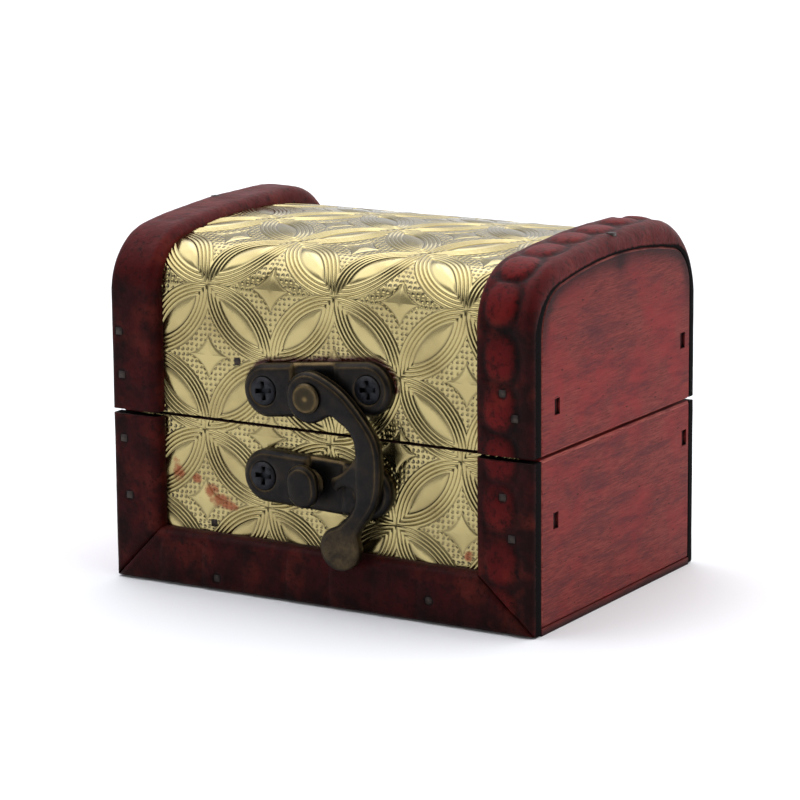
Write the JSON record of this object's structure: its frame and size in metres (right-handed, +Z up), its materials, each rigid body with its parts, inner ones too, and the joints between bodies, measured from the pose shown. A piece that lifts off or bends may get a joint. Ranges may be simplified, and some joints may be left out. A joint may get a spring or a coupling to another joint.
{
  "type": "keepsake box",
  "caption": "Small arched-lid keepsake box of red-stained wood, covered with gold embossed sheet and leather strips, with a swing clasp in front and butt hinges behind.",
  "frame": {"origin": "on the table under the middle of the box's width and of its depth over the leather", "axes": "+X to the right seen from the front, +Y from the clasp to the hinges, +Z up"},
  "size_m": [0.08, 0.0605, 0.0612],
  "materials": {
    "red_wood": "red stain, satin",
    "plain_wood": "dark stain, matt",
    "gold_sheet": "embossed, bright",
    "leather": "embossed, satin",
    "brads": "dull",
    "bronze": "antiqued, worn edges",
    "black_screws": "blackened",
    "hinge_bronze": "antiqued"
  },
  "bodies": {
    "base": {"bottom_board": "plain_wood", "base_left_end": "red_wood", "base_right_end": "red_wood", "base_front_panel": "plain_wood", "base_back_panel": "plain_wood", "base_front_sheet": "gold_sheet", "base_back_sheet": "gold_sheet", "base_front_left_strip": "leather", "base_front_right_strip": "leather", "base_front_bottom_strip": "leather", "base_back_left_strip": "leather", "base_back_right_strip": "leather", "base_back_bottom_strip": "leather", "base_trim_brads": "brads", "base_end_brads": "brads", "catch_plate": "bronze", "catch_post": "bronze", "catch_screws": "black_screws", "left_hinge_base_leaf": "hinge_bronze", "right_hinge_base_leaf": "hinge_bronze", "hinge_pins": "hinge_bronze", "base_hinge_nails": "hinge_bronze"},
    "lid": {"lid_left_end": "red_wood", "lid_right_end": "red_wood", "lid_front_rail": "plain_wood", "lid_back_rail": "plain_wood", "lid_top_board": "plain_wood", "lid_sheet": "gold_sheet", "lid_left_strip": "leather", "lid_right_strip": "leather", "lid_trim_brads": "brads", "lid_end_brads": "brads", "latch_plate": "bronze", "latch_rivet": "bronze", "latch_screws": "black_screws", "left_hinge_lid_leaf": "hinge_bronze", "right_hinge_lid_leaf": "hinge_bronze", "lid_hinge_nails": "hinge_bronze"},
    "latch_arm": {"swing_arm": "bronze"}
  },
  "joints": [
    {"name": "lid_hinge", "type": "hinge", "parent": "base", "child": "lid", "pos_m": [0, 0.02815, 0.02865], "axis": [-1, 0, 0], "range_deg": [0, 105]},
    {"name": "latch_swing", "type": "hinge", "parent": "lid", "child": "latch_arm", "pos_m": [-0.00032, -0.0255, 0.0352], "axis": [0, -1, 0], "range_deg": [-13, 110]}
  ]
}
